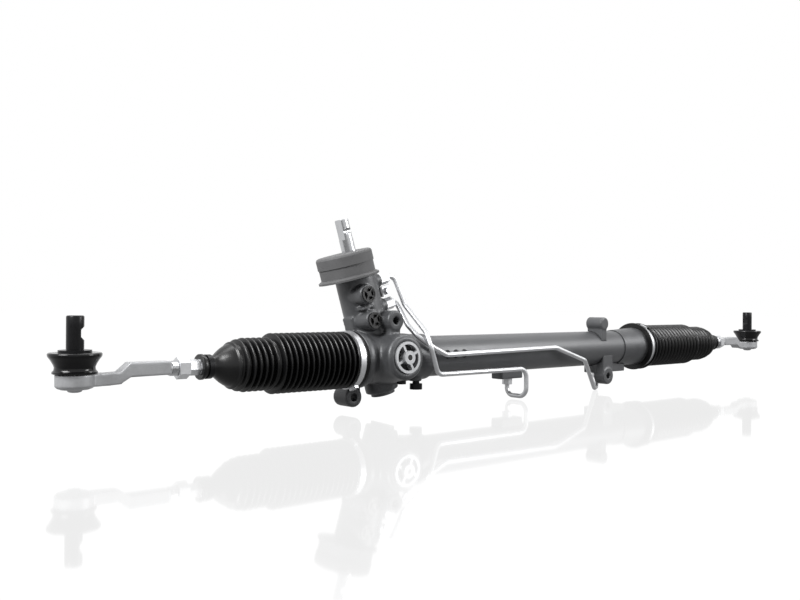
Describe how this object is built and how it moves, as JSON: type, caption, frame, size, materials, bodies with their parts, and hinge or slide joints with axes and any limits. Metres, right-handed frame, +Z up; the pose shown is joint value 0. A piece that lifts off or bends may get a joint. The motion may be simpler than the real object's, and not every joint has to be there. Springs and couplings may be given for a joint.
{
  "type": "hydraulic steering rack",
  "caption": "Hydraulic rack and pinion steering gear with leaning valve tower, ribbed bellows, transfer pipes, cylinder tube and tie rods with upright ball studs.",
  "frame": {"origin": "centre of the upper mounting eye's bore, at the eye's front face", "axes": "+X along the rack from the pinion towards the cylinder's far end, -Y to the front where the yoke plug and the eye's face are, +Z up"},
  "size_m": [1.2776, 0.1086, 0.226],
  "materials": {
    "casting": "satin dark coat",
    "tube_paint": "satin",
    "cap_plastic": "matte",
    "inner_alloy": "machined",
    "plug_alloy": "bright die cast",
    "bright_steel": "zinc plated",
    "ground_steel": "ground",
    "forged_steel": "satin plated",
    "black_steel": "black oxide",
    "seal_rubber": "matte",
    "bellows_rubber": "satin",
    "boot_rubber": "glossy",
    "black_plastic": "semi gloss",
    "white_plastic": "natural"
  },
  "bodies": {
    "housing": {"rack_housing": "casting", "cylinder_tube": "tube_paint", "left_port_block": "tube_paint", "right_bracket": "tube_paint", "top_boss": "tube_paint", "end_collar": "casting", "seal_carrier": "inner_alloy", "rack_seals": "seal_rubber", "rack_bush": "inner_alloy", "stop_ring": "bright_steel", "dust_cap": "cap_plastic", "shaft_seal": "seal_rubber", "pinion_bearings": "bright_steel", "lower_cap": "casting", "yoke": "inner_alloy", "yoke_ring": "seal_rubber", "yoke_spring": "bright_steel", "yoke_plug": "plug_alloy", "adjuster_screw": "bright_steel", "port_plugs": "black_plastic", "centring_bolt": "black_steel", "blanking_plug": "black_steel", "left_pipe": "bright_steel", "right_pipe": "bright_steel", "pipe_nuts": "bright_steel", "pipe_bracket": "bright_steel", "bracket_screw": "bright_steel", "bellows_left": "bellows_rubber", "bellows_right": "bellows_rubber", "large_clamps": "bright_steel"},
    "rack": {"rack_bar": "ground_steel", "rack_piston": "inner_alloy", "piston_ring": "white_plastic", "inner_sockets": "ground_steel", "inner_ball_seats": "white_plastic", "lock_washers": "bright_steel"},
    "pinion": {"pinion_gear": "ground_steel", "pinion_nut": "bright_steel", "valve_sleeve": "ground_steel", "input_shaft": "ground_steel", "torsion_bar": "ground_steel", "drive_pin": "ground_steel"},
    "tie_rod_left": {"tie_rod_left": "ground_steel", "jam_nut_left": "bright_steel", "small_clamp_left": "black_steel", "tie_rod_end_left": "forged_steel", "outer_ball_seat_left": "white_plastic", "bottom_cap_left": "forged_steel"},
    "stud_left": {"ball_stud_left": "black_steel", "dust_boot_left": "boot_rubber", "boot_ring_left": "black_steel"},
    "tie_rod_right": {"tie_rod_right": "ground_steel", "jam_nut_right": "bright_steel", "small_clamp_right": "black_steel", "tie_rod_end_right": "forged_steel", "outer_ball_seat_right": "white_plastic", "bottom_cap_right": "forged_steel"},
    "stud_right": {"ball_stud_right": "black_steel", "dust_boot_right": "boot_rubber", "boot_ring_right": "black_steel"}
  },
  "joints": [
    {"name": "rack_slide", "type": "slide", "parent": "housing", "child": "rack", "axis": [1, 0, 0], "range_m": [-0.095, 0.055], "deforming": ["bellows_left", "bellows_right"]},
    {"name": "pinion_spin", "type": "hinge", "parent": "housing", "child": "pinion", "pos_m": [0, 0.04016, -0.04606], "axis": [-0.2504, 0.0675, 0.9658], "range_deg": [-628.3, 364.2]},
    {"name": "tie_rod_left_swing", "type": "hinge", "parent": "rack", "child": "tie_rod_left", "pos_m": [-0.139, 0.025, -0.045], "axis": [0, 1, 0], "range_deg": [-20, 20]},
    {"name": "stud_left_turn", "type": "hinge", "parent": "tie_rod_left", "child": "stud_left", "pos_m": [-0.361, 0.025, -0.0495], "axis": [0, 0, 1], "continuous": true},
    {"name": "tie_rod_right_swing", "type": "hinge", "parent": "rack", "child": "tie_rod_right", "pos_m": [0.647, 0.025, -0.045], "axis": [0, 1, 0], "range_deg": [-20, 20]},
    {"name": "stud_right_turn", "type": "hinge", "parent": "tie_rod_right", "child": "stud_right", "pos_m": [0.869, 0.025, -0.0495], "axis": [0, 0, 1], "continuous": true}
  ],
  "couplings": [
    {"joint": "pinion_spin", "follows": "rack_slide", "rad_per_m": 115.26}
  ]
}
